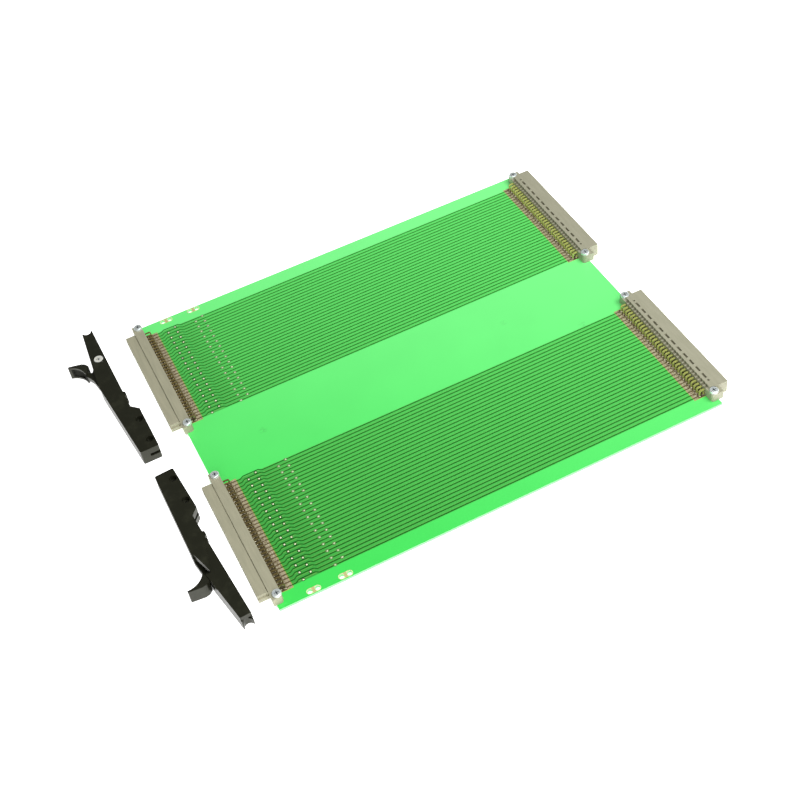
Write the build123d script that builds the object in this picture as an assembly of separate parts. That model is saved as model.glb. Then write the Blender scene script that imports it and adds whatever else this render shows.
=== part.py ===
from build123d import *
import os

# Extender board for a 6U card rack: a bare 1.6 mm board with straight tracks
# between two socket connectors on its front edge and two plug connectors on
# its rear edge, and two separate card holders, laid beside it, that screw on
# by the front edge and guide and latch the card on test.
# Units are millimetres. While the pieces are made, x runs from the front edge
# of the board to its rear edge, y along the front edge, and z = 0 is the
# board's upper face. The finished set is then moved so that the origin is in
# the middle of its footprint, on the surface that it stands on.

# Board
board_length = 262.5
board_width = 233.35
board_thickness = 1.6
grid = 2.54

# Contact pattern, shared by the connectors, the tracks and the test points
contacts_per_row = 32
span = (contacts_per_row - 1) * grid
row_a_setback = 2 * grid
row_b_setback = 3 * grid
contact_size = 0.6
contact_hole_diameter = 1.0
tail_below_board = 1.2
row_a_height = 1.3
row_b_height = row_a_height + grid
row_middle_height = (row_a_height + row_b_height) / 2

# Tracks and pads
track_width = 0.7
lower_track_width = 0.6
track_gap = 0.06
swing_run = 2.0
swing_lead = 4.0
swing_trail = 2.0
lower_swing_lead = 0.8
lower_swing_trail = 0.3
copper_thickness = 0.07
solder_pad_diameter = 1.7
test_pad_diameter = 1.8
test_hole_diameter = 1.0
test_barrel_wall = 0.12
test_barrel_clearance = 0.01
test_columns = (7 * grid, 9 * grid)
second_test_columns = (14 * grid, 16 * grid)

# Fixing holes of the connectors
fixing_spacing = span + 4 * grid
fixing_hole_diameter = 2.8
socket_fixing_setback = 2.0
plug_fixing_setback = 2.0

# Holes for the card holders, in two pairs on each long edge
holder_hole_diameter = 2.7
holder_hole_pitch = 17.78
holder_hole_step = 4.4
holder_hole_first_x = 17.7
holder_hole_edge = 2.3
holder_pad_margin = 0.45

# Socket connector on the front edge. Lengths along the rows are the span of
# the contacts with a margin at each end.
flange_length = span + 2 * 7.63
flange_height = 5.4
socket_flange_front = 1.4
socket_rear = 4.2
nose_reach = 7.4
nose_height = 5.0
nose_upper_length = span + 2 * 1.23
nose_lower_length = span + 2 * 2.03
nose_step_height = 2.4
socket_mouth = 1.2
socket_mouth_depth = 5.0
socket_contact_setback = 1.2
channel_clearance = 0.05
groove_width = 0.5
groove_depth = 0.5
ear_radius = 1.6

# Plug connector on the rear edge
plug_reach = 7.9
plug_flange_front = 2.6
plug_rear = 4.5
plug_block_rear = 3.0
plug_comb_height = 4.8
shroud_length = span + 2 * 3.53
shroud_height = 8.4
shroud_depth = 6.3
mating_clearance = 0.15
pin_setback = 0.8
plug_edge_gap = 0.1
window_length = 4.0
window_width = 1.2
window_depth = 0.7
window_setback = 0.5
window_pitch = 6.0
window_count = 12

# Fasteners of the connectors
screw_diameter = 2.5
screw_head_diameter = 5.0
screw_head_height = 1.5
screw_head_rounding = 0.67
screw_head_access = 0.4
screw_tip = 0.6
thread_clearance = 0.01
shank_overlap = 0.2
nut_width = 5.0
nut_height = 2.0
recess_span = 2.6
recess_slot = 0.6
recess_depth = 0.9

# Card holder: v runs from its block end to its fork, u from the face of the
# block that meets the board outwards
holder_length = 110.0
holder_thickness = 10.0
block_length = 32.5
block_width = 11.0
notch_depth = 4.2
notch_run = 4.4
widest_at = 60.0
widest_width = 15.3
arm_start = 75.5
arm_start_width = 14.0
fork_width = 10.4
fork_notch_depth = 2.0
fork_tip_width = 0.5
fork_cheek_setback = 0.7
corner_radius = 1.0
card_slot_width = 2.0
block_slot_depth = 6.0
arm_slot_depth = 2.0
holder_hole_v = 7.0
holder_hole_u = 3.0
holder_hole_clearance = 0.2
counterbore_diameter = 4.4
counterbore_depth = 3.0
cheek_step = 0.7
cheek_point_u = 11.0
stop_v = 50.0
stop_length = 4.4
stop_reach = 1.2
stop_height = 7.0
stop_root = 1.0
stop_lead = 0.6
stop_tail = 1.2

# Latch lever inside the card holder, drawn as it lies open in the far holder
pivot_v = 84.5
pivot_u = 8.2
lever_thickness = 3.0
lever_gap = 0.15
lever_pocket_start = pivot_v - 23.5
lever_pocket_end = pivot_v + 4.5
lever_pocket_u = 5.1
pivot_diameter = 2.5
pivot_clearance = 0.05
pivot_head_diameter = 5.8
pivot_head_height = 1.7
pivot_head_clearance = 0.1
pivot_head_sink = 0.1
pivot_head_rounding = 0.5
pivot_thread_wall = 1.6
hub_radius = 2.9
tab_thickness = 8.8
tab_scoop_height = 6.0

# The slanted end of the lever pocket's mouth, from the pivot, with x = -u and
# y = v. It is clear of the leading edge of the plate when the lever is open.
pocket_mouth = [(-3.2, 1.4), (-8.1, -7.5)]

# Outlines of the lever's parts in plan, from its pivot, with x = -u and y = v.
# The hook and the scoop each have straight sides and then one arc.
plate_sides = [
    (-3.2, 0.6), (-6.6, -5.6), (-9.4, -4.2), (-11.0, -6.0), (-9.6, -8.6), (-8.0, -12.5),
    (-7.0, -19.1), (-5.6, -18.8), (-2.6, -8.0),
]
hook_sides = [(-10.3, -6.6), (-8.9, -4.6), (-7.2, -2.0), (-8.4, 0.4), (-10.5, 1.9), (-17.8, 3.9)]
hook_arc = [(-18.5, 2.9), (-13.6, -0.3), (-10.9, -6.2)]
scoop_sides = [(-10.3, -4.6), (-11.0, -1.6), (-15.8, 2.2)]
scoop_arc = [(-16.8, 0.6), (-13.9, -1.4), (-11.2, -5.6)]

# Where the two card holders lie beside the board: the place of the block's
# board side corner, the turn from the y axis and how far the lever is closed,
# in degrees
holder_places = {
    "far": {"x": -17.6, "y": 131.8, "turn": 0.8, "flipped": False, "lever_turn": 0.0},
    "near": {"x": -16.4, "y": 111.6, "turn": 3.8, "flipped": True, "lever_turn": 25.0},
}

# The banks of contacts share the width that the connectors leave free. This
# part of it lies outside them, half at each long edge.
outer_share = 0.1323
free_width = board_width - 2 * flange_length
first_middle = free_width * outer_share / 2 + flange_length / 2
bank_middles = {"near": first_middle, "far": board_width - first_middle}

nut_bottom = -board_thickness - nut_height
floor_z = nut_bottom - screw_tip
overcut = 1.0
tolerance = 0.01
parts = {}


def box(x0, x1, y0, y1, z0, z1):
    """A box between two corners."""
    size = (abs(x1 - x0), abs(y1 - y0), abs(z1 - z0))
    return Pos((x0 + x1) / 2, (y0 + y1) / 2, (z0 + z1) / 2) * Box(*size)


def drum(x, y, z0, z1, diameter):
    """An upright cylinder between two heights."""
    return Pos(x, y, (z0 + z1) / 2) * Cylinder(diameter / 2, abs(z1 - z0))


def slab(outline, z0, z1):
    """An outline in plan, carried up from z0 to z1."""
    return Pos(0, 0, z0) * extrude(outline, z1 - z0)


def contact_lines(middle):
    """The y of each contact of one connector, from its far end to its near end."""
    return [middle + span / 2 - grid * index for index in range(contacts_per_row)]


def keep(name, solids):
    """Store one node as a compound of its separate solids."""
    parts[name] = solids


def test_points(middle):
    """The places of one connector's 64 test points, staggered in four columns."""
    places = []
    for columns in (test_columns, second_test_columns):
        for index, y in enumerate(contact_lines(middle)):
            column = columns[1] if index % 2 == 0 else columns[0]
            places.append((column, y))
    return places


def holder_holes(y):
    """The four holes of one long edge, as two pairs."""
    return [
        (holder_hole_first_x + pair * holder_hole_pitch + step * holder_hole_step, y)
        for pair in range(2)
        for step in range(2)
    ]


def edge_lines():
    """The y of the card holders' holes by each long edge."""
    return {"near": holder_hole_edge, "far": board_width - holder_hole_edge}


def tail_columns():
    """The x of rows a and b of the contact tails, at both ends of the board."""
    return {
        "socket": (row_a_setback, row_b_setback),
        "plug": (board_length - row_a_setback, board_length - row_b_setback),
    }


def fixing_points(side, middle):
    """The two fixing holes of one connector."""
    x = socket_fixing_setback if side == "socket" else board_length - plug_fixing_setback
    return [(x, middle - fixing_spacing / 2), (x, middle + fixing_spacing / 2)]


def circuit_board():
    """The bare board, drilled for contacts, test points, screws and holders."""
    outline = Rectangle(board_length, board_width, align=(Align.MIN, Align.MIN))
    holes = []
    for middle in bank_middles.values():
        for side, columns in tail_columns().items():
            for column in columns:
                holes += [(column, y, contact_hole_diameter) for y in contact_lines(middle)]
            holes += [(x, y, fixing_hole_diameter) for x, y in fixing_points(side, middle)]
        holes += [(x, y, test_hole_diameter) for x, y in test_points(middle)]
    for y in edge_lines().values():
        holes += [(x, y_hole, holder_hole_diameter) for x, y_hole in holder_holes(y)]
    outer = outline.face().outer_wire()
    rings = [Wire.make_circle(diameter / 2, Plane((x, y, 0))) for x, y, diameter in holes]
    face = Face(outer, rings)
    return slab(face, -board_thickness, 0)


def track(points, width, z0, z1):
    """One track along a line of points, with square ends."""
    half = width / 2
    upper = [(x, y + half) for x, y in points]
    lower = [(x, y - half) for x, y in reversed(points)]
    return slab(make_face(Polyline(*upper, *lower, close=True)), z0, z1)


def upper_tracks(middle):
    """Tracks of row b. Each swings round the first test columns and meets the second."""
    start = row_b_setback + solder_pad_diameter / 2
    end = board_length - start
    gap = test_pad_diameter / 2 + track_gap
    swing = grid / 2
    rise = test_columns[0] - swing_lead
    fall = test_columns[1] + swing_trail
    solids = []
    for index, y in enumerate(contact_lines(middle)):
        column = second_test_columns[1] if index % 2 == 0 else second_test_columns[0]
        to_point = [(start, y), (rise, y), (rise + swing_run, y + swing), (fall, y + swing),
                    (fall + swing_run, y), (column - gap, y)]
        solids.append(track(to_point, track_width, 0, copper_thickness))
        solids.append(track([(column + gap, y), (end, y)], track_width, 0, copper_thickness))
    return solids


def lower_tracks(middle):
    """Tracks of row a on the lower face, between the lines of contacts past their points."""
    start = row_b_setback + solder_pad_diameter / 2
    gap = test_pad_diameter / 2 + track_gap
    swing = grid / 2
    bottom = -board_thickness
    end = board_length - start
    solids = []
    for index, y in enumerate(contact_lines(middle)):
        column = test_columns[1] if index % 2 == 0 else test_columns[0]
        first = column + gap
        turn = start + lower_swing_lead
        to_point = [(start, y + swing), (turn, y + swing), (turn + swing_run, y),
                    (column - gap, y)]
        turn = first + lower_swing_trail
        away = [(first, y), (turn, y), (turn + swing_run, y + swing), (end, y + swing)]
        for points in (to_point, away):
            solids.append(track(points, lower_track_width, bottom - copper_thickness, bottom))
    return solids


def test_eyelets(middle):
    """Plated test points: a barrel through the board with a pad at each face."""
    bore = test_hole_diameter / 2 - test_barrel_wall
    barrel = test_hole_diameter / 2 - test_barrel_clearance
    pad = test_pad_diameter / 2
    top = copper_thickness
    bottom = -board_thickness - copper_thickness
    section = make_face(
        Polyline(
            (bore, bottom), (pad, bottom), (pad, -board_thickness),
            (barrel, -board_thickness), (barrel, 0), (pad, 0), (pad, top), (bore, top),
            close=True,
        )
    )
    eyelet = revolve(Plane.XZ * section, Axis.Z)
    return [Pos(x, y, 0) * eyelet for x, y in test_points(middle)]


def holder_pads(y):
    """Bare copper pads that join each pair of holder holes."""
    solids = []
    width = holder_hole_diameter + 2 * holder_pad_margin
    holes = holder_holes(y)
    for left, right in (holes[:2], holes[2:]):
        middle = (left[0] + right[0]) / 2
        pad = SlotCenterToCenter(holder_hole_step, width)
        for x in (-holder_hole_step / 2, holder_hole_step / 2):
            pad -= Pos(x, 0) * Circle(holder_hole_diameter / 2)
        solids.append(slab(Pos(middle, y) * pad, 0, copper_thickness))
    return solids


def bent_contact(inner_end, column, height):
    """A square contact: level from its inner end, then down through the board."""
    half = contact_size / 2
    toward = 1 if column > inner_end else -1
    level = box(inner_end, column + toward * half, -half, half, height - half, height + half)
    down = box(column - half, column + half, -half, half,
               -board_thickness - tail_below_board, height)
    return level + down


def contact_row(inner_end, column, height, middle):
    """One row of contacts, as separate solids."""
    contact = bent_contact(inner_end, column, height)
    return [Pos(0, y, 0) * contact for y in contact_lines(middle)]


def ear_rounding(body, edge_x):
    """Round the upright corners at the ends of a flange, on one face."""
    picked = [
        edge for edge in body.edges().filter_by(Axis.Z)
        if abs(edge.center().X - edge_x) < tolerance
        and abs(abs(edge.center().Y) - flange_length / 2) < tolerance
    ]
    return fillet(picked, ear_radius)


def socket_body():
    """Moulded socket body: a stepped nose with 64 mouths behind a flange."""
    flange = box(-socket_flange_front, socket_rear, -flange_length / 2, flange_length / 2,
                 0, flange_height)
    flange = ear_rounding(flange, socket_rear)
    nose_bottom = row_middle_height - nose_height / 2
    nose_top = nose_bottom + nose_height
    step = nose_bottom + nose_step_height
    upper = box(-nose_reach, -socket_flange_front, -nose_upper_length / 2,
                nose_upper_length / 2, step, nose_top)
    lower = box(-nose_reach, -socket_flange_front, -nose_lower_length / 2,
                nose_lower_length / 2, nose_bottom, step)
    body = flange + upper + lower
    groove_x = -socket_flange_front - groove_width
    body -= box(groove_x, groove_x + groove_width, -nose_upper_length, nose_upper_length,
                nose_top - groove_depth, nose_top + overcut)
    for y in (-fixing_spacing / 2, fixing_spacing / 2):
        body -= drum(socket_fixing_setback, y, -overcut, flange_height + overcut,
                     fixing_hole_diameter)
    cuts = []
    channel = contact_size / 2 + channel_clearance
    mouth = socket_mouth / 2
    for height in (row_a_height, row_b_height):
        for y in contact_lines(0):
            cuts.append(box(-nose_reach - overcut, -nose_reach + socket_mouth_depth,
                            y - mouth, y + mouth, height - mouth, height + mouth))
            cuts.append(box(-nose_reach, socket_rear + overcut, y - channel, y + channel,
                            height - channel, height + channel))
    return body - Compound(cuts)


def socket_contacts(column, height, middle):
    """Contacts of one socket row, each starting inside its mouth."""
    return contact_row(-nose_reach + socket_contact_setback, column, height, middle)


def plug_body():
    """Moulded plug body: a shroud round the pins, a flange and a rear comb."""
    edge = board_length
    bottom = row_middle_height - shroud_height / 2
    top = row_middle_height + shroud_height / 2
    length = shroud_length / 2
    front = edge + plug_reach
    body = box(edge + plug_edge_gap, front, -length, length, bottom, top)
    body += box(edge - plug_block_rear, front, -length, length, 0, top)
    body += box(edge - plug_rear, edge, -length, length, 0, plug_comb_height)
    flange = box(edge - plug_rear, edge + plug_flange_front, -flange_length / 2,
                 flange_length / 2, 0, flange_height)
    body += ear_rounding(flange, edge - plug_rear)
    cavity_height = nose_height + 2 * mating_clearance
    low = row_middle_height - cavity_height / 2
    high = row_middle_height + cavity_height / 2
    step = row_middle_height - nose_height / 2 + nose_step_height
    upper = nose_upper_length / 2 + mating_clearance
    lower = nose_lower_length / 2 + mating_clearance
    body -= box(front - shroud_depth, front + overcut, -upper, upper, low, high)
    body -= box(front - shroud_depth, front + overcut, -lower, lower, low, step)
    windows = [
        ((index - (window_count - 1) / 2) * window_pitch, window_length)
        for index in range(window_count)
    ]
    end = ((window_count - 1) / 2) * window_pitch + window_length
    windows += [(-end, window_width), (end, window_width)]
    window_x = edge - window_setback
    for y, size in windows:
        body -= box(window_x - window_width / 2, window_x + window_width / 2,
                    y - size / 2, y + size / 2, top - window_depth, top + overcut)
    fixing_x = edge - plug_fixing_setback
    for y in (-fixing_spacing / 2, fixing_spacing / 2):
        body -= drum(fixing_x, y, -overcut, flange_height + overcut, fixing_hole_diameter)
        body -= drum(fixing_x, y, flange_height, top + overcut,
                     screw_head_diameter + screw_head_access)
    channel = contact_size / 2 + channel_clearance
    cuts = []
    for height in (row_a_height, row_b_height):
        for y in contact_lines(0):
            cuts.append(box(edge - plug_rear - overcut, front - shroud_depth + overcut,
                            y - channel, y + channel, height - channel, height + channel))
    return body - Compound(cuts)


def plug_contacts(column, height, middle):
    """Contacts of one plug row, each ending as a pin inside the shroud."""
    return contact_row(board_length + plug_reach - pin_setback, column, height, middle)


def cross_recess(top):
    """A cross recess to cut into a screw head."""
    bars = box(-recess_span / 2, recess_span / 2, -recess_slot / 2, recess_slot / 2,
               top - recess_depth, top + overcut)
    return bars + Rot(0, 0, 90) * bars


def pan_screw():
    """A pan head screw that holds a connector, upright at the origin."""
    head_top = flange_height + screw_head_height
    head = drum(0, 0, flange_height, head_top, screw_head_diameter)
    head = fillet(head.edges().group_by(Axis.Z)[-1], screw_head_rounding)
    shank = drum(0, 0, floor_z, flange_height + shank_overlap, screw_diameter)
    return head + shank - cross_recess(head_top)


def hex_nut():
    """The nut below the board, upright at the origin."""
    corners = RegularPolygon(nut_width / 2, 6, major_radius=False)
    bore = Circle(screw_diameter / 2 + thread_clearance)
    return slab(corners - bore, nut_bottom, -board_thickness)


def slope(points):
    """A face from an outline of points in u and v, given as x and y."""
    return make_face(Polyline(*points, close=True))


def holder_outline():
    """The holder in plan, with a notch behind its block and a straight end."""
    face = slope([
        (0, 0), (0, block_length), (-notch_depth, block_length + notch_run),
        (-notch_depth, holder_length), (-fork_width, holder_length),
        (-arm_start_width, arm_start), (-widest_width, widest_at), (-block_width, 0),
    ])
    corners = [vertex for vertex in face.vertices() if vertex.Y < holder_length - tolerance]
    return fillet(corners, corner_radius)


def fork_notch():
    """The hollow between the two tips at the holder's end, in plan."""
    inner = -notch_depth - fork_tip_width
    outer = -fork_width + fork_tip_width
    end = holder_length
    hollow = ThreePointArc((inner, end), ((inner + outer) / 2, end - fork_notch_depth), (outer, end))
    rim = Polyline((outer, end), (outer, end + overcut), (inner, end + overcut), (inner, end))
    return make_face([hollow, *rim.edges()])


def holder_body():
    """The moulded holder. It is made lying on its side, x = -u and y = v."""
    half = holder_thickness / 2
    body = slab(holder_outline(), -half, half)
    near_end = stop_v - stop_length / 2
    far_end = stop_v + stop_length / 2
    stop = slope([
        (-notch_depth - stop_root, near_end),
        (-notch_depth + stop_reach, near_end + stop_lead),
        (-notch_depth + stop_reach, far_end - stop_tail),
        (-notch_depth - stop_root, far_end + stop_root),
    ])
    body += slab(stop, -stop_height / 2, stop_height / 2)
    pocket_half = lever_thickness / 2 + lever_gap
    outside = widest_width + overcut
    inside = stop_reach + overcut
    root, lip = [(x - pivot_u, y + pivot_v) for x, y in pocket_mouth]
    pocket = slope([
        (-lever_pocket_u, lever_pocket_start), (-lever_pocket_u, lever_pocket_end),
        (root[0], lever_pocket_end), root, lip, (lip[0], lever_pocket_start),
    ])
    body -= slab(pocket, -pocket_half, pocket_half)
    slot_half = card_slot_width / 2
    body -= box(-block_slot_depth, inside, -overcut, stop_v, -slot_half, slot_half)
    body -= box(-notch_depth - arm_slot_depth, inside, stop_v - overcut,
                holder_length + overcut, -slot_half, slot_half)
    for hole in range(2):
        v = holder_hole_v + hole * holder_hole_pitch
        body -= drum(-holder_hole_u, v, -half - overcut, half + overcut,
                     screw_diameter + holder_hole_clearance)
        for sign in (-1, 1):
            body -= drum(-holder_hole_u, v, sign * (half - counterbore_depth),
                         sign * (half + overcut), counterbore_diameter)
    past_end = holder_length + overcut
    body -= slab(fork_notch(), -pocket_half, half + overcut)
    body -= box(-outside, inside, holder_length - fork_cheek_setback, past_end,
                -half - overcut, -pocket_half)
    arm_side = slope([
        (inside, stop_v), (-notch_depth, stop_v), (-cheek_point_u, arm_start),
        (-outside, arm_start), (-outside, past_end), (inside, past_end),
    ])
    body -= slab(arm_side, -half - overcut, -half + cheek_step)
    cheek_cut = slope([
        (-widest_width - overcut, widest_at), (-widest_width + overcut, widest_at),
        (-cheek_point_u, arm_start), (-outside, arm_start),
    ])
    body -= slab(cheek_cut, -half - overcut, -pocket_half)
    body -= drum(-pivot_u, pivot_v, -half + pivot_thread_wall, half + overcut, pivot_diameter)
    body -= drum(-pivot_u, pivot_v, half - pivot_head_height, half + overcut,
                 pivot_head_diameter + 2 * pivot_head_clearance)
    return body


def lever_face(sides, arc):
    """A face of the lever: straight sides, then an arc through three points."""
    lines = [Line(start, stop) for start, stop in zip(sides, sides[1:])]
    return make_face([*lines, Line(sides[-1], arc[0]), ThreePointArc(*arc),
                      Line(arc[2], sides[0])])


def latch_lever():
    """The latch: a tailed plate on a hub, with a tall hooked finger tab."""
    half = lever_thickness / 2
    plate = slope([(0, hub_radius), *plate_sides, (0, -hub_radius)])
    tall = tab_thickness / 2
    hook = lever_face(hook_sides, hook_arc)
    scoop = lever_face(scoop_sides, scoop_arc)
    lever = slab(plate, -half, half)
    lever += Cylinder(hub_radius, lever_thickness)
    lever += slab(hook, -tall, tall)
    lever -= slab(scoop, -tab_scoop_height / 2, tab_scoop_height / 2)
    lever -= drum(0, 0, -half - overcut, half + overcut, pivot_diameter + 2 * pivot_clearance)
    return lever


def pivot_screw():
    """The screw that the lever turns on, flush in the upper cheek."""
    half = holder_thickness / 2
    head_top = half - pivot_head_sink
    head = drum(0, 0, half - pivot_head_height, head_top, pivot_head_diameter)
    head = fillet(head.edges().group_by(Axis.Z)[-1], pivot_head_rounding)
    shank = drum(0, 0, -half + pivot_thread_wall, half - pivot_head_height + shank_overlap,
                 pivot_diameter)
    return head + shank - cross_recess(head_top)


def holder_place(place):
    """Where one holder lies. The flipped one is the same part turned over."""
    middle = floor_z + holder_thickness / 2
    spot = Pos(place["x"], place["y"], middle) * Rot(0, 0, place["turn"])
    return spot * Rot(180, 0, 0) if place["flipped"] else spot


keep("circuit_board", [circuit_board()])
socket = socket_body()
plug = plug_body()
screw = pan_screw()
nut = hex_nut()
for bank, middle in bank_middles.items():
    keep(f"upper_tracks_{bank}", upper_tracks(middle))
    keep(f"lower_tracks_{bank}", lower_tracks(middle))
    keep(f"test_points_{bank}", test_eyelets(middle))
    keep(f"socket_body_{bank}", [Pos(0, middle, 0) * socket])
    keep(f"plug_body_{bank}", [Pos(0, middle, 0) * plug])
    columns = tail_columns()
    heights = {"a": row_a_height, "b": row_b_height}
    for row, (name, height) in enumerate(heights.items()):
        keep(f"socket_contacts_{bank}_row_{name}",
             socket_contacts(columns["socket"][row], height, middle))
        keep(f"plug_contacts_{bank}_row_{name}",
             plug_contacts(columns["plug"][row], height, middle))
    for side in ("socket", "plug"):
        places = fixing_points(side, middle)
        keep(f"{side}_screws_{bank}", [Pos(x, y, 0) * screw for x, y in places])
        keep(f"{side}_nuts_{bank}", [Pos(x, y, 0) * nut for x, y in places])
for edge, y in edge_lines().items():
    keep(f"holder_pads_{edge}", holder_pads(y))

pivot = Pos(-pivot_u, pivot_v, 0)
body = holder_body()
lever = latch_lever()
pin = pivot_screw()
for side, place in holder_places.items():
    where = holder_place(place)
    keep(f"card_holder_{side}", [where * body])
    keep(f"latch_lever_{side}", [where * pivot * Rot(0, 0, place["lever_turn"]) * lever])
    keep(f"pivot_screw_{side}", [where * pivot * pin])

everything = [solid for solids in parts.values() for solid in solids]
reach = Compound(everything).bounding_box()
origin = Pos(-reach.center().X, -reach.center().Y, -floor_z)

os.makedirs("parts", exist_ok=True)
for name, solids in parts.items():
    moved = [origin * solid for solid in solids]
    shape = Compound(moved) if len(moved) > 1 else moved[0]
    export_step(shape, f"parts/{name}.step")
print("origin shift", -reach.center().X, -reach.center().Y, -floor_z)
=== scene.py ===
import math

import bmesh
import bpy
import numpy as np
from mathutils import Matrix, Vector


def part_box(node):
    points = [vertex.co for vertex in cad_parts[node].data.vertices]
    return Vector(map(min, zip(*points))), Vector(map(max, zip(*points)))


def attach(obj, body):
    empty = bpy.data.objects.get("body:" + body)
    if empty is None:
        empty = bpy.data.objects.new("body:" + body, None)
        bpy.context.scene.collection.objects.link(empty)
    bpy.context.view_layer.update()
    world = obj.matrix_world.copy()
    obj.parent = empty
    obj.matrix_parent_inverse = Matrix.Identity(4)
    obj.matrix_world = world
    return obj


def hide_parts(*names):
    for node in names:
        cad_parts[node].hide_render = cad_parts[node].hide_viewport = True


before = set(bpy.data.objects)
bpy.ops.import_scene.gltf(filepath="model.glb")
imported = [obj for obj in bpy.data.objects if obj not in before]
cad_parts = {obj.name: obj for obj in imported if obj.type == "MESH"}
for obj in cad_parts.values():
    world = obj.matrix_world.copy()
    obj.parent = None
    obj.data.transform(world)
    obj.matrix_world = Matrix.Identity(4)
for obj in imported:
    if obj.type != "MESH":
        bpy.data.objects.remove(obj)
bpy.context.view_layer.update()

# The extender board lies flat on a white table with its two card holders
# beside it. Points are given in millimetres from the board's near front
# corner, on its upper face, and turned into the frame's metres by "at".
MM = 0.001
BOARD_LOW, BOARD_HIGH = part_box("circuit_board")
CORNER = Vector((BOARD_LOW.x, BOARD_LOW.y, BOARD_HIGH.z))
LENGTH = (BOARD_HIGH.x - BOARD_LOW.x) / MM
WIDTH = (BOARD_HIGH.y - BOARD_LOW.y) / MM
THICKNESS = (BOARD_HIGH.z - BOARD_LOW.z) / MM
GRID = 2.54
CONTACTS = 32
SPAN = (CONTACTS - 1) * GRID
ROOT = "board_and_holders"
SIDES = ("near", "far")


def at(x, y, z):
    """A point of the board's own millimetres, in the frame's metres."""
    return CORNER + Vector((x, y, z)) * MM


def middle_of(side):
    """The y of one bank's middle, taken from its socket body."""
    low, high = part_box(f"socket_body_{side}")
    return ((low.y + high.y) / 2 - CORNER.y) / MM


BANKS = {side: middle_of(side) for side in SIDES}
ROW_A = 2 * GRID
ROW_B = 3 * GRID
TAIL_COLUMNS = (ROW_A, ROW_B, LENGTH - ROW_B, LENGTH - ROW_A)
WINDOW_END = 11.4
PAD_MIDDLES = (19.9, 37.68)
TRACKS_SWING = (24, 46)
WIRE_CLEAR = 4.8
WIRE_BEND = 0.75
BEND_STEPS = 5
TEST_COLUMNS = ((7 * GRID, 9 * GRID), (14 * GRID, 16 * GRID))
PLUG_TOP = (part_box("plug_body_near")[1].z - CORNER.z) / MM
HEAD_TOP = (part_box("plug_screws_near")[1].z - CORNER.z) / MM
PIVOT_TOP = (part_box("pivot_screw_far")[1].z - CORNER.z) / MM


def contact_lines(side):
    """The y of each contact of one bank, from its far end, as an array."""
    return BANKS[side] + SPAN / 2 - GRID * np.arange(CONTACTS)


# Shader values


class Value:
    """One socket of a finish. Arithmetic on it adds Math nodes."""

    def __init__(self, finish, socket):
        self.finish = finish
        self.socket = socket

    def math(self, operation, *others):
        return self.finish.node("Math", {"operation": operation}, dict(enumerate((self, *others))))

    def __add__(self, other):
        return self.math("ADD", other)

    def __sub__(self, other):
        return self.math("SUBTRACT", other)

    def __mul__(self, other):
        return self.math("MULTIPLY", other)

    def __truediv__(self, other):
        return self.math("DIVIDE", other)

    def __rsub__(self, other):
        return self.math("MULTIPLY_ADD", -1.0, other)

    def __abs__(self):
        return self.math("ABSOLUTE")

    __radd__ = __add__
    __rmul__ = __mul__

    def either(self, other):
        """The larger of two values."""
        return self.math("MAXIMUM", other)

    def fraction(self):
        """What is left above the whole number below."""
        return self.math("FRACT")

    def distance(self, other):
        """The length of two values at right angles."""
        return (self * self + other * other).math("SQRT")

    def step(self, low, high):
        """0 below low, 1 above high and a smooth rise between them."""
        settings = {"interpolation_type": "SMOOTHSTEP"}
        return self.finish.node("MapRange", settings, {0: self, 1: low, 2: high})


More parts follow.
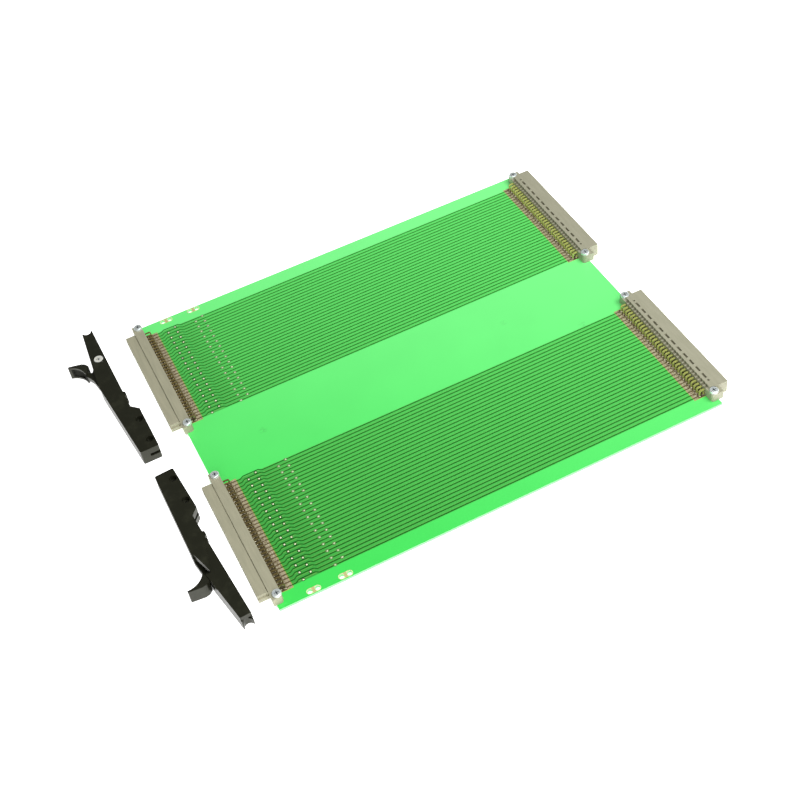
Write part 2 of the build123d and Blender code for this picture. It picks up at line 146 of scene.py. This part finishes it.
class Finish:
    """One node material, whose shader reads values worked out from the place on the object."""

    def __init__(self, name):
        self.material = bpy.data.materials.new(name)
        self.material.use_nodes = True
        self.tree = self.material.node_tree
        self.tree.nodes.clear()
        self.place = self.node("TexCoord", out="Object")
        x, y, z = (self.node("SeparateXYZ", {}, {0: self.place}, out=axis) for axis in range(3))
        self.x = (x - CORNER.x) / MM
        self.y = (y - CORNER.y) / MM
        self.z = (z - CORNER.z) / MM
        beyond = self.y.math("GREATER_THAN", WIDTH / 2)
        self.bank_y = self.y - BANKS["near"] - beyond * (BANKS["far"] - BANKS["near"])
        self.past_line = ((self.bank_y / GRID).fraction() - 0.5) * GRID
        self.off_line = abs(self.past_line)
        # Painted light: depth runs from 0 at the near left to 1 at the far right of the board, and finishes
        # use it to paint their colours lighter where the light falls stronger.
        self.depth = (self.x * (0.4 / LENGTH) + self.y * (0.6 / WIDTH)).step(-0.1, 1.1)

    def node(self, kind, settings=None, inputs=None, out=0):
        """Any node: its settings are set first, then the values or links of its sockets."""
        made = self.tree.nodes.new("ShaderNode" + kind)
        for name, value in (settings or {}).items():
            setattr(made, name, value)
        for key, value in (inputs or {}).items():
            if isinstance(value, Value):
                self.tree.links.new(value.socket, made.inputs[key])
            else:
                made.inputs[key].default_value = value
        return Value(self, made.outputs[out] if made.outputs else None)

    def noise(self, size, detail=3.0, roughness=0.55, stretch=(1, 1, 1)):
        """Noise from about 0.25 to 0.75, whose grains are size millimetres across."""
        place = self.node("Mapping", {}, {"Vector": self.place, "Scale": stretch})
        inputs = {"Vector": place, "Scale": 1 / (size * MM), "Detail": detail, "Roughness": roughness}
        return self.node("TexNoise", {}, inputs)

    def blend(self, factor, first, second):
        """Colour first where factor is 0, and second where it is 1."""
        settings = {"data_type": "RGBA"}
        return self.node("Mix", settings, {0: factor, 6: as_color(first), 7: as_color(second)}, out=2)

    def shade(self, factor, color, low, high):
        """A colour made darker or lighter, from low times to high times."""
        amount = self.node("MapRange", {}, {0: factor, 3: low, 4: high})
        grey = self.node("CombineColor", {}, {0: amount, 1: amount, 2: amount})
        settings = {"data_type": "RGBA", "blend_type": "MULTIPLY"}
        return self.node("Mix", settings, {0: 1.0, 6: as_color(color), 7: grey}, out=2)

    def upness(self):
        """The z of the surface's own direction, 1 on top and -1 below."""
        direction = self.node("NewGeometry", out="Normal")
        return self.node("SeparateXYZ", {}, {0: direction}, out=2)

    def bump(self, height, depth):
        """Relief whose height 1 stands depth millimetres out."""
        return self.node("Bump", {}, {"Height": height, "Distance": depth * MM, "Strength": 1.0})

    def surface(self, color, roughness=0.5, metallic=0.0, normal=None, **fixed):
        """The shader at the end. Sockets in fixed are the same all over the surface."""
        inputs = {"Base Color": as_color(color), "Roughness": roughness, "Metallic": metallic}
        if normal is not None:
            inputs["Normal"] = normal
        for name, value in fixed.items():
            inputs[name.replace("_", " ")] = value
        shader = self.node("BsdfPrincipled", {}, inputs)
        self.node("OutputMaterial", {}, {"Surface": shader})
        return self.material


def as_color(color):
    """Three numbers get their alpha. A value stays as it is."""
    return color if isinstance(color, Value) or len(color) == 4 else (*color, 1.0)


def any_of(masks):
    """The largest of several values."""
    largest, *others = masks
    for mask in others:
        largest = largest.either(mask)
    return largest


def box_mask(finish, low_x, high_x, half_width, edge=0.12):
    """1 inside a box in plan, on both banks, and 0 outside it."""
    along = finish.x.step(low_x - edge, low_x + edge) * (1 - finish.x.step(high_x - edge, high_x + edge))
    return along * (1 - abs(finish.bank_y).step(half_width - edge, half_width + edge))


def round_masks(finish, columns, low, high):
    """1 round every contact line at each of the columns, and 0 past the given radii."""
    return any_of([1 - (finish.x - column).distance(finish.off_line).step(low, high) for column in columns])


def window_mask(finish, grow=0.0):
    """1 on the bare strips behind the sockets and in front of the plugs."""
    half = SPAN / 2 + 1.5 + grow
    front = box_mask(finish, 1.0, WINDOW_END + grow, half)
    rear = box_mask(finish, LENGTH - WINDOW_END - grow, LENGTH - 1.0, half)
    return front.either(rear)


# Finishes


# Painted light: the second colour of each green pair below (mask, field, track) is a lit copy of the first,
# used towards the far right of the board.
MASK_GREEN = (0.050, 0.71, 0.095)
MASK_GREEN_LIT = (0.24, 1.0, 0.30)
# The field greens are darker than the plain mask: painted shade where the lower tracks block the light
# through the board.
FIELD_GREEN = (0.062, 0.43, 0.062)
FIELD_GREEN_LIT = (0.140, 0.82, 0.165)
LAMINATE = (0.42, 0.37, 0.23)
SCUFFS = ((38.0, 116.0, 3.4), (192.3, 118.1, 2.8), (230.4, 92.6, 3.4), (78.2, 60.9, 3.2), (230.9, 59.9, 2.8))
LAMINATE_EDGE = (0.30, 0.72, 0.34)
MASK_RIM = (0.62, 0.27, 0.08)
BARE_COPPER = (0.155, 0.105, 0.050)
# The track greens are darker again: partly the copper's own tone under the mask and partly painted shade
# where it blocks the light through the board.
TRACK_GREEN = (0.005, 0.115, 0.006)
TRACK_GREEN_LIT = (0.018, 0.260, 0.024)


def weave(finish):
    """Glass cloth: two crossed waves, each thread about 0.55 mm wide."""
    turn = 2 * math.pi / 1.1
    warp = (finish.x * turn).math("SINE")
    weft = (finish.y * turn).math("SINE")
    return warp * weft


def scuffs(finish):
    """1 on a few rubbed spots, broken up by noise."""
    broken = finish.noise(0.9, 4, 0.7, stretch=(0.6, 1, 1)).step(0.44, 0.62)
    spots = [
        1 - (finish.x - x).distance(finish.y - y).step(radius * 0.2, radius)
        for x, y, radius in SCUFFS
    ]
    return any_of(spots) * broken


def bare_laminate(finish):
    """The strips with no mask: painted shade under the bent tails, and tan with flux and painted glints past
    them.
    """
    grain = finish.noise(0.8, 2)
    bare = finish.shade(grain, LAMINATE, 0.78, 1.2)
    # Painted highlights: whitish glints scattered over the bare strip.
    glint = finish.noise(0.55, 3).step(0.53, 0.64)
    flux = 1 - finish.noise(0.9, 3).step(0.40, 0.52)
    bare = finish.blend(flux * 0.65, bare, (0.13, 0.085, 0.035))
    bare = finish.blend(glint * 0.55, bare, (0.78, 0.74, 0.56))
    # A dark brown ring round each tail: partly flux and partly painted shade round the solder.
    ring = round_masks(finish, TAIL_COLUMNS, 0.95, 1.35)
    bare = finish.blend(ring * 0.8, bare, (0.095, 0.062, 0.026))
    # Painted shade: nearly black from the edge of each strip to just past the row b tails, under and behind
    # the bent tails.
    shade_under_front = 1 - finish.x.step(ROW_B + 0.2, ROW_B + 1.0)
    shade_under_rear = finish.x.step(LENGTH - ROW_B - 1.0, LENGTH - ROW_B - 0.2)
    return finish.blend(shade_under_front.either(shade_under_rear) * 0.88, bare, (0.050, 0.038, 0.012))


def board_finish():
    """Green solder mask on glass cloth laminate, with bare strips by the connectors."""
    finish = Finish("green_solder_mask")
    cloth = weave(finish)
    cloud = finish.noise(38, 2)
    grain = finish.noise(0.8, 2)
    # Painted light: the plain mask and the field both lighten towards the far right with depth.
    plain = finish.blend(finish.depth, MASK_GREEN, MASK_GREEN_LIT)
    plain = finish.shade(cloud, plain, 0.95, 1.05)
    between = finish.blend(finish.depth, FIELD_GREEN, FIELD_GREEN_LIT)
    # Painted shade: the field is darker in front of x = 24 mm, easing off by 46 mm, where the lower tracks
    # swing under it and block the light through the board.
    between = finish.shade(finish.x.step(*TRACKS_SWING), between, 0.84, 1.0)
    between = finish.shade(grain, between, 0.84, 1.16)
    rim_light = finish.past_line.step(0.30, 0.46) * (1 - finish.past_line.step(0.52, 0.72))
    rim_light = rim_light * (0.30 + (1 - finish.x.step(*TRACKS_SWING)) * 0.25)
    between = finish.blend(rim_light, between, (0.30, 0.56, 0.12))
    field = box_mask(finish, WINDOW_END, LENGTH - WINDOW_END, SPAN / 2 + 0.7, 0.35)
    mask = finish.blend(field, plain, between)
    mask = finish.blend(scuffs(finish) * 0.22, mask, (0.05, 0.16, 0.05))
    bare = bare_laminate(finish)
    rim = window_mask(finish, 0.3) * (1 - window_mask(finish))
    window = window_mask(finish)
    top = finish.blend(window, mask, bare)
    top = finish.blend(rim * 0.7, top, MASK_RIM)
    flat = abs(finish.upness()).step(0.4, 0.6)
    color = finish.blend(flat, LAMINATE_EDGE, finish.shade(cloth, top, 0.985, 1.015))
    relief = finish.bump(cloth * 0.35 + grain * 0.5, 0.012)
    roughness = 0.30 + window * 0.25 + (1 - flat) * 0.3
    # Painted light: the mask glows green as if the white table shone up through the board, and only a quarter
    # as much over the track field, as painted shade of the tracks.
    glow = finish.blend(flat * (1 - window), (0.0, 0.0, 0.0), finish.shade(field, plain, 1.0, 0.25))
    return finish.surface(color, roughness, 0.0, relief, Emission_Color=glow, Emission_Strength=0.08,
                          Specular_IOR_Level=0.35)


def track_finish(name, masked, lit_tone, bare):
    """Copper under green mask, lighter towards the far right as painted light, and bare and darkened where
    the mask stops, with painted glints where it is bare.
    """
    finish = Finish(name)
    grain = finish.noise(0.5, 3)
    window = window_mask(finish)
    green = finish.shade(grain, finish.blend(finish.depth, masked, lit_tone), 0.8, 1.2)
    metal = finish.shade(grain, bare, 0.5, 1.7)
    # Painted highlights: glints on the bare copper.
    glint = finish.noise(0.7, 3).step(0.55, 0.66)
    metal = finish.blend(glint * 0.6, metal, (0.52, 0.44, 0.30))
    color = finish.blend(window, green, metal)
    relief = finish.bump(grain, 0.01)
    return finish.surface(color, 0.38 + window * 0.1, window * 0.55, relief, Specular_IOR_Level=0.3)


def in_rear_columns(finish):
    """0 at the front columns of test points, and 1 at the rear ones."""
    return finish.x.step(TEST_COLUMNS[0][1] + 2, TEST_COLUMNS[1][0] - 2)


def point_finish():
    """The ring of a test point: under green mask in front, bare and browned in the rear columns."""
    finish = Finish("test_point_ring")
    grain = finish.noise(0.35, 3)
    bare = in_rear_columns(finish)
    brown = finish.blend(grain, (0.10, 0.085, 0.045), (0.24, 0.215, 0.14))
    green = finish.shade(grain, (0.006, 0.055, 0.005), 0.8, 1.2)
    color = finish.blend(bare, green, brown)
    return finish.surface(color, 0.42, bare * 0.1, finish.bump(grain, 0.015), Specular_IOR_Level=0.3)


def solder_finish(name, light, dark, roughness, metallic, rear=None):
    """Solder that has set with a fine crystal grain, and nearer to rear in the rear test columns."""
    finish = Finish(name)
    grain = finish.noise(0.3, 4)
    patch = finish.noise(0.9, 2).step(0.38, 0.62)
    color = finish.shade(grain, finish.blend(patch, light, dark), 0.8, 1.2)
    if rear:
        color = finish.blend(in_rear_columns(finish) * 0.6, color, rear)
    return finish.surface(color, roughness, metallic, finish.bump(grain, 0.02))


def pad_finish():
    """Copper pads by the long edges, tinned round their holes and bare between them."""
    finish = Finish("holder_pad_copper")
    grain = finish.noise(0.4, 3)
    bare = any_of([1 - abs(finish.x - middle).step(0.5, 1.1) for middle in PAD_MIDDLES])
    tin = finish.shade(grain, (0.86, 0.90, 0.50), 0.9, 1.1)
    copper = finish.shade(grain, (0.60, 0.54, 0.22), 0.85, 1.15)
    color = finish.blend(bare * 0.85, tin, copper)
    return finish.surface(color, 0.40, 0.1, finish.bump(grain, 0.015))


def shaded_floor(finish, low, high):
    """1 on faces that look up between two heights, such as the floor of a recess."""
    between = finish.z.step(low - 0.03, low) * (1 - finish.z.step(high, high + 0.03))
    return between * finish.upness().step(0.6, 0.8)


COMB_STARTS = (LENGTH - 4.6, LENGTH - 4.4)
COMB_ENDS = (LENGTH - 3.1, LENGTH - 2.6)
COMB_HALF = (SPAN / 2 + 1.0, SPAN / 2 + 1.2)


def moulding_finish(name, base, deep, roughness, floor=None):
    """Glass filled moulding: a fine speckle, faint flow streaks and a slight grain.

    Where floor gives two heights, faces between them get painted shade, as the floors
    of the plug's windows do, and dark stripes of painted shade lie on the contact
    lines of the comb behind its contacts.
    """
    finish = Finish(name)
    speckle = finish.noise(0.25, 4)
    streak = finish.noise(1.6, 3, stretch=(1, 0.12, 1))
    color = finish.blend(streak.step(0.25, 0.8), base, deep)
    color = finish.shade(speckle, color, 0.92, 1.08)
    if floor:
        # Painted shade: dark stripes on the contact lines of the comb behind the plug's contacts.
        slot_shade = 1 - finish.off_line.step(0.62, 0.92)
        comb = finish.x.step(*COMB_STARTS) * (1 - finish.x.step(*COMB_ENDS))
        comb = comb * (1 - abs(finish.bank_y).step(*COMB_HALF))
        color = finish.blend(comb * slot_shade * 0.7, color, (0.10, 0.085, 0.045))
        # Painted shade on the floors of the plug's windows.
        color = finish.blend(shaded_floor(finish, *floor) * 0.85, color, (0.075, 0.066, 0.035))
    relief = finish.bump(speckle + streak * 0.5, 0.02)
    return finish.surface(color, roughness + speckle * 0.12, 0.0, relief)


# How each lever lies: the turn of its holder, 1 or -1 as it is turned over, and its own swing
LEVER_LIES = {"far": (0.8, 1, 0.0), "near": (3.8, -1, 25.0)}
HOLLOW_HALF = (3.03, 3.10)
HOLLOW_OUTER = (-17.1, -16.9)
HOLLOW_INNER = (-10.4, -10.1)
HOLLOW_SLANT = 0.459
HOLLOW_END = (-4.8, -4.65)


def tab_hollow(finish, side):
    """1 inside the hollow of a finger tab, and 0 elsewhere.

    The place is taken from the pivot and turned into the lever's own axes:
    reach to the holder's inside and along to its fork. The hollow is a band of
    height, a stretch of reach, and what lies short of a slanted line.
    """
    low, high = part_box(f"pivot_screw_{side}")
    pivot = ((low + high) / 2 - CORNER) / MM
    middle = (sum(corner.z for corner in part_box(f"card_holder_{side}")) / 2 - CORNER.z) / MM
    turn, over, swing = LEVER_LIES[side]
    turn, swing = math.radians(turn), math.radians(swing)
    east = finish.x - pivot.x
    north = finish.y - pivot.y
    inward = east * math.cos(turn) + north * math.sin(turn)
    upward = (north * math.cos(turn) - east * math.sin(turn)) * over
    reach = inward * math.cos(swing) + upward * math.sin(swing)
    along = upward * math.cos(swing) - inward * math.sin(swing)
    band = 1 - abs(finish.z - middle).step(*HOLLOW_HALF)
    stretch = reach.step(*HOLLOW_OUTER) * (1 - reach.step(*HOLLOW_INNER))
    short = 1 - (along + reach * HOLLOW_SLANT).step(*HOLLOW_END)
    return band * stretch * short


def holder_finish(name, base, roughness, side=None):
    """Near black moulding with a soft polish, worn a little lighter in patches, and with painted shade in the
    hollow of a lever's finger tab when side is given.
    """
    finish = Finish(name)
    grain = finish.noise(0.45, 4)
    rub = finish.noise(7, 4, 0.65)
    color = finish.blend(rub.step(0.45, 0.8), base, tuple(1.7 * part for part in base))
    color = finish.shade(grain, color, 0.85, 1.15)
    polish = roughness + rub * 0.12
    if side:
        hollow = tab_hollow(finish, side)
        # Painted shade: the inside of the finger tab's hollow is made nearly black.
        color = finish.blend(hollow, color, (0.002, 0.002, 0.001))
        polish = polish + hollow * 0.5
    relief = finish.bump(grain, 0.018)
    gloss = dict(Specular_IOR_Level=0.38, Specular_Tint=(0.96, 0.98, 0.84, 1.0))
    return finish.surface(color, polish, 0.0, relief, **gloss)


def contact_finish(name, light, dark, roughness, foot):
    """Plated contact wire, drawn along its length, with painted shade below foot millimetres and painted
    light towards the board's far right.
    """
    finish = Finish(name)
    drawn = finish.noise(0.12, 3, stretch=(0.1, 1, 1))
    # Painted shade low down towards the board, and painted light growing with depth.
    low = finish.z.step(foot * 0.2, foot)
    color = finish.blend(low * (0.45 + finish.depth * 0.55), dark, light)
    color = finish.shade(drawn, color, 0.82, 1.15)
    return finish.surface(color, roughness, 0.3, finish.bump(drawn, 0.006))


def zinc_finish(name, base, roughness, metallic=1.0, recess=None):
    """Zinc plated steel with a faint blue and yellow cast, turned marks and painted shade in the recess."""
    finish = Finish(name)
    cast = finish.noise(1.3, 3)
    fine = finish.noise(0.2, 3)
    warm = tuple(part * k for part, k in zip(base, (1.05, 1.0, 0.9)))
    color = finish.blend(cast.step(0.3, 0.7), base, warm)
    color = finish.shade(fine, color, 0.85, 1.1)
    if recess:
        # Painted shade in the screw head's recess.
        color = finish.blend(shaded_floor(finish, recess - 1.0, recess - 0.7), color, (0.02, 0.025, 0.03))
    return finish.surface(color, roughness + fine * 0.1, metallic, finish.bump(fine, 0.01))


def paint(node, material):
    """Give a carried-over node its finish."""
    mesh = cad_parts[node].data
    mesh.materials.clear()
    mesh.materials.append(material)


# Pieces


def add(name, data):
    """A new object of the scene."""
    made = bpy.data.objects.new(name, data)
    bpy.context.scene.collection.objects.link(made)
    return made


def put(name, points, faces, material):
    """A new piece from an array of points in metres and an array of faces."""
    mesh = bpy.data.meshes.new(name)
    mesh.from_pydata(points.reshape(-1, 3).tolist(), [], faces)
    mesh.validate()
    mesh.polygons.foreach_set("use_smooth", np.ones(len(mesh.polygons), bool))
    mesh.materials.append(material)
    piece = add(name, mesh)
    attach(piece, ROOT)
    return piece


def revolved(places, profile, turns):
    """Round forms with upright axes, one at each place.

    Point (place, ring, turn) = place + (r cos a, r sin a, z), where (r, z) is the
    ring's own radius and height in the profile and a = 2 pi turn / turns. The
    first and last rings close on the axis.
    """
    places = np.asarray(places, float)
    r, z = np.asarray(profile, float).T
    a = 2 * math.pi * np.arange(turns) / turns
    around = np.stack([np.cos(a), np.sin(a), np.zeros(turns)], -1)
    rings = r[:, None, None] * around + z[:, None, None] * np.array([0, 0, 1.0])
    points = places[:, None, None, :] + rings
    ring_count = len(r)
    ring = np.arange(ring_count - 1)[:, None]
    turn = np.arange(turns)[None, :]
    after = (turn + 1) % turns
    one = np.stack([ring * turns + turn, ring * turns + after,
                    (ring + 1) * turns + after, (ring + 1) * turns + turn], -1).reshape(-1, 4)
    caps = [list(range(turns))[::-1], list(range((ring_count - 1) * turns, ring_count * turns))]
    size = ring_count * turns
    starts = (np.arange(len(places)) * size)[:, None, None]
    quads = (one[None] + starts).reshape(-1, 4).tolist()
    ends = [[index + start * size for index in cap] for start in range(len(places)) for cap in caps]
    base = np.array(CORNER)
    return points * MM + base, quads + ends


def tail_places(side, z):
    """The places of one bank's contact tails, at both ends of the board."""
    lines = contact_lines(side)
    return np.concatenate([
        np.stack([np.full(CONTACTS, column), lines, np.full(CONTACTS, z)], 1)
        for column in TAIL_COLUMNS
    ])


def point_places(side, z):
    """The places of one bank's test points, staggered in four columns."""
    lines = contact_lines(side)
    odd = np.arange(CONTACTS) % 2
    return np.concatenate([
        np.stack([np.where(odd, first, second), lines, np.full(CONTACTS, z)], 1)
        for first, second in TEST_COLUMNS
    ])


def solder_cones(side, material):
    """Solder round each contact tail: a pad with a hollow cone that climbs the wire."""
    upper = [(0.85, 0.0), (0.85, 0.05), (0.78, 0.11), (0.60, 0.20), (0.46, 0.38), (0.38, 0.62), (0.02, 0.66)]
    lower = [
        (0.02, -1.02), (0.34, -0.98), (0.44, -0.62), (0.60, -0.28), (0.80, -0.10), (0.85, -0.05), (0.85, 0.0),
    ]
    for name, profile, z in (("upper", upper, 0.0), ("lower", lower, -THICKNESS)):
        points, faces = revolved(tail_places(side, z), profile, 10)
        put(f"solder_{name}_{side}", points, faces, material)


def point_domes(side, material):
    """Solder that fills each test point and domes over it, above and below."""
    rise = [(0.57, 0.05), (0.55, 0.11), (0.46, 0.19), (0.28, 0.25), (0.02, 0.27)]
    sink = [(r, -z) for r, z in reversed(rise)]
    for name, profile, z in (("upper", rise, 0.0), ("lower", sink, -THICKNESS)):
        points, faces = revolved(point_places(side, z), profile, 10)
        put(f"test_point_fill_{name}_{side}", points, faces, material)


def bent_wire(inner, column, height, leg):
    """The middle line of one contact and its half widths, as arrays over its stations.

    It runs level at z = height from x = inner, turns down on a quarter circle of
    radius r = WIRE_BEND, (x, z) = (x0 + s r sin a, height - r + r cos a) with s the
    direction it runs in, and goes down through the board at x = column. Its half
    width is 0.3 mm, and leg mm where it stands clear of the moulding.
    """
    ahead = 1.0 if column > inner else -1.0
    turn_x = column - ahead * WIRE_BEND
    a = np.linspace(0, math.pi / 2, BEND_STEPS)
    open_from = WIRE_CLEAR if ahead > 0 else LENGTH - WIRE_CLEAR
    level = [(inner, 0.3), (open_from - ahead * 0.3, 0.3), (open_from, leg)]
    level = [(x, wide) for x, wide in level if (turn_x - x) * ahead > 0.05]
    x = np.concatenate([[x for x, _ in level], turn_x + ahead * WIRE_BEND * np.sin(a), np.full(4, column)])
    down = np.array([0.75, 0.35, -THICKNESS - 1.0, -THICKNESS - 1.2])
    down[0] = min(down[0], height - WIRE_BEND - 0.05)
    bent = height - WIRE_BEND + WIRE_BEND * np.cos(a)
    z = np.concatenate([np.full(len(level), height), bent, down])
    half = np.concatenate([[wide for _, wide in level], np.full(BEND_STEPS, leg), [leg, 0.3, 0.3, 0.12]])
    tilt = np.concatenate([np.zeros(len(level)), a, np.full(4, math.pi / 2)])
    normal = np.stack([ahead * np.sin(tilt), np.cos(tilt)], 1)
    return x, z, half, normal


def bent_contacts(node, end, row, material, leg):
    """One row of contacts, each a flat wire carried along its bent line.

    Point (wire, station, corner) = middle line + h n + w y, where n is the line's
    upper normal, h is plus or minus half the thickness and w the half width.
    """
    low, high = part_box(node)
    side = node.split("_")[2]
    front = end == "socket"
    setback = {"a": ROW_A, "b": ROW_B}[row]
    column = setback if front else LENGTH - setback
    inner = ((low.x if front else high.x) - CORNER.x) / MM
    height = (high.z - CORNER.z) / MM - 0.3
    x, z, half, normal = bent_wire(inner, column, height, leg)
    thick = np.where(np.arange(len(x)) == len(x) - 1, 0.12, 0.3)
    corners = [(1, 1), (1, -1), (-1, -1), (-1, 1)]
    ring = np.stack([
        np.stack([x + up * thick * normal[:, 0], out * half, z + up * thick * normal[:, 1]], -1)
        for up, out in corners
    ], 1)
    lines = contact_lines(side)
    points = ring[None] + np.stack([0 * lines, lines, 0 * lines], 1)[:, None, None, :]
    count = len(x)
    station = np.arange(count - 1)[:, None]
    corner = np.arange(4)[None, :]
    after = (corner + 1) % 4
    walls = np.stack([station * 4 + corner, station * 4 + after,
                      (station + 1) * 4 + after, (station + 1) * 4 + corner], -1).reshape(-1, 4)
    ends = np.array([[3, 2, 1, 0], [count * 4 - 4, count * 4 - 3, count * 4 - 2, count * 4 - 1]])
    one = np.concatenate([walls, ends])
    if not front:
        one = one[:, ::-1]
    starts = (np.arange(CONTACTS) * count * 4)[:, None, None]
    faces = (one[None] + starts).reshape(-1, 4).tolist()
    piece = put(f"{node}_wires", points * MM + np.array(CORNER), faces, material)
    piece.data.polygons.foreach_set("use_smooth", np.zeros(len(piece.data.polygons), bool))
    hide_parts(node)


def softened(node, material, width, body=ROOT):
    """A merged copy of a moulded piece with its edges rounded by width millimetres."""
    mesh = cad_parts[node].data.copy()
    form = bmesh.new()
    form.from_mesh(mesh)
    bmesh.ops.remove_doubles(form, verts=form.verts, dist=0.002 * MM)
    bmesh.ops.dissolve_limit(form, angle_limit=math.radians(0.4), verts=form.verts, edges=form.edges)
    for edge in form.edges:
        edge.smooth = edge.is_manifold and edge.calc_face_angle(0.0) < math.radians(25)
    for face in form.faces:
        face.smooth = True
    form.to_mesh(mesh)
    form.free()
    mesh.materials.clear()
    mesh.materials.append(material)
    piece = add(f"{node}_shell", mesh)
    bevel = piece.modifiers.new("rounded_edges", "BEVEL")
    bevel.width = width * MM
    bevel.segments = 2
    bevel.limit_method = "ANGLE"
    bevel.angle_limit = math.radians(35)
    bevel.harden_normals = True
    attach(piece, body)
    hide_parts(node)


def make_object():
    """Finish every node and add what the solids leave out."""
    paint("circuit_board", board_finish())
    upper = track_finish("upper_track_copper", TRACK_GREEN, TRACK_GREEN_LIT, BARE_COPPER)
    # The lower tracks' second green is a lit copy of the first: painted light towards the far right.
    lower = track_finish("lower_track_copper", (0.03, 0.30, 0.04), (0.04, 0.36, 0.05), BARE_COPPER)
    ring = point_finish()
    pads = pad_finish()
    bright = (0.95, 1.0, 0.70), (0.74, 0.90, 0.48)
    solder = solder_finish("bright_solder", *bright, 0.34, 0.0, (0.34, 0.72, 0.28))
    joint = solder_finish("joint_solder", (0.74, 0.69, 0.50), (0.17, 0.115, 0.05), 0.36, 0.3)
    socket = moulding_finish("socket_moulding", (0.41, 0.395, 0.275), (0.355, 0.345, 0.24), 0.42)
    # The heights between which the floors of the plug's windows get painted shade.
    windows = (PLUG_TOP - 0.80, PLUG_TOP - 0.60)
    plug = moulding_finish("plug_moulding", (0.41, 0.40, 0.29), (0.36, 0.355, 0.25), 0.42, windows)
    brass, shaded_brass = (0.30, 0.23, 0.085), (0.05, 0.036, 0.012)
    contact_front = contact_finish("socket_contact_wire", brass, shaded_brass, 0.34, 2.8)
    # The plug's wire is yellow-green: the plating's own yellow with a painted reflection of the green board.
    gold_and_board_reflection, shaded_gold = (0.66, 0.72, 0.20), (0.13, 0.11, 0.03)
    contact_rear = contact_finish("plug_contact_wire", gold_and_board_reflection, shaded_gold, 0.3, 0.9)
    zinc = zinc_finish("zinc_screw", (0.74, 0.82, 0.85), 0.36, 0.55, HEAD_TOP)
    nut = zinc_finish("zinc_nut", (0.55, 0.57, 0.58), 0.32)
    steel = zinc_finish("pivot_zinc", (0.84, 0.86, 0.83), 0.38, 0.25, PIVOT_TOP)
    holder = holder_finish("holder_moulding", (0.0155, 0.016, 0.0095), 0.26)
    for side in SIDES:
        paint(f"upper_tracks_{side}", upper)
        paint(f"lower_tracks_{side}", lower)
        paint(f"test_points_{side}", ring)
        paint(f"holder_pads_{side}", pads)
        for row in "ab":
            bent_contacts(f"socket_contacts_{side}_row_{row}", "socket", row, contact_front, 0.36)
            bent_contacts(f"plug_contacts_{side}_row_{row}", "plug", row, contact_rear, 0.56)
        for end in ("socket", "plug"):
            paint(f"{end}_screws_{side}", zinc)
            paint(f"{end}_nuts_{side}", nut)
        paint(f"pivot_screw_{side}", steel)
        softened(f"socket_body_{side}", socket, 0.12)
        softened(f"plug_body_{side}", plug, 0.15)
        softened(f"card_holder_{side}", holder, 0.25)
        lever = holder_finish(f"lever_moulding_{side}", (0.0165, 0.017, 0.0105), 0.30, side)
        softened(f"latch_lever_{side}", lever, 0.25, f"{side}_latch")
        solder_cones(side, joint)
        point_domes(side, solder)


# Floor, light and camera


def table_top():
    """A white table, much larger than the view."""
    half = 3.0
    mesh = bpy.data.meshes.new("table_top")
    corners = [(-half, -half, 0), (half, -half, 0), (half, half, 0), (-half, half, 0)]
    mesh.from_pydata(corners, [], [(0, 1, 2, 3)])
    finish = Finish("white_table")
    cloud = finish.noise(300, 2)
    white = finish.shade(cloud, (0.80, 0.80, 0.795), 0.995, 1.005)
    glow = dict(Emission_Color=(1.0, 1.0, 1.0, 1.0), Emission_Strength=1.2)
    mesh.materials.append(finish.surface(white, 0.6, Specular_IOR_Level=0.0, **glow))
    floor = add("table_top", mesh)
    floor.location.z = -0.0002


def soft_box(name, place, target, size, power):
    """A square area light at a place, turned to a target."""
    light = bpy.data.lights.new(name, "AREA")
    light.shape = "SQUARE"
    light.size = size
    light.energy = power
    lamp = add(name, light)
    lamp.location = place
    lamp.rotation_mode = "QUATERNION"
    lamp.rotation_quaternion = (Vector(target) - Vector(place)).to_track_quat("-Z", "Y")


def sky():
    """An even white surround that is dimmer overhead."""
    world = bpy.data.worlds.new("studio")
    world.use_nodes = True
    tree = world.node_tree
    tree.nodes.clear()
    place = tree.nodes.new("ShaderNodeTexCoord")
    parts = tree.nodes.new("ShaderNodeSeparateXYZ")
    tree.links.new(place.outputs["Generated"], parts.inputs[0])
    ramp = tree.nodes.new("ShaderNodeMapRange")
    ramp.inputs["From Min"].default_value = 0.08
    ramp.inputs["From Max"].default_value = 0.45
    ramp.inputs["To Min"].default_value = 1.1
    ramp.inputs["To Max"].default_value = 0.12
    tree.links.new(parts.outputs[2], ramp.inputs["Value"])
    glow = tree.nodes.new("ShaderNodeBackground")
    tree.links.new(ramp.outputs[0], glow.inputs["Strength"])
    end = tree.nodes.new("ShaderNodeOutputWorld")
    tree.links.new(glow.outputs[0], end.inputs["Surface"])
    bpy.context.scene.world = world


def camera():
    """The photograph's view, from the near front of the board and well above it."""
    lens = bpy.data.cameras.new("camera")
    lens.sensor_width = 36.0
    lens.lens = 61.58
    lens.clip_start = 0.02
    lens.clip_end = 20.0
    right = Vector((0.8932, -0.4347, -0.1152)).normalized()
    back = Vector((-0.2197, -0.6452, 0.7317)).normalized()
    up = back.cross(right).normalized()
    right = up.cross(back)
    turn = Matrix((right, up, back)).transposed()
    eye = add("camera", lens)
    eye.rotation_mode = "QUATERNION"
    eye.rotation_quaternion = turn.to_quaternion()
    eye.location = at(-55.12, -400.58, 562.47)
    bpy.context.scene.camera = eye


make_object()
table_top()
sky()
soft_box("key_light", (0.40, -0.40, 1.20), (0.0, 0.0, 0.0), 0.9, 16.0)
soft_box("fill_light", (-0.35, -1.1, 0.7), (0.0, 0.0, 0.0), 0.9, 6.5)
camera()
bpy.context.scene.view_settings.view_transform = "Standard"
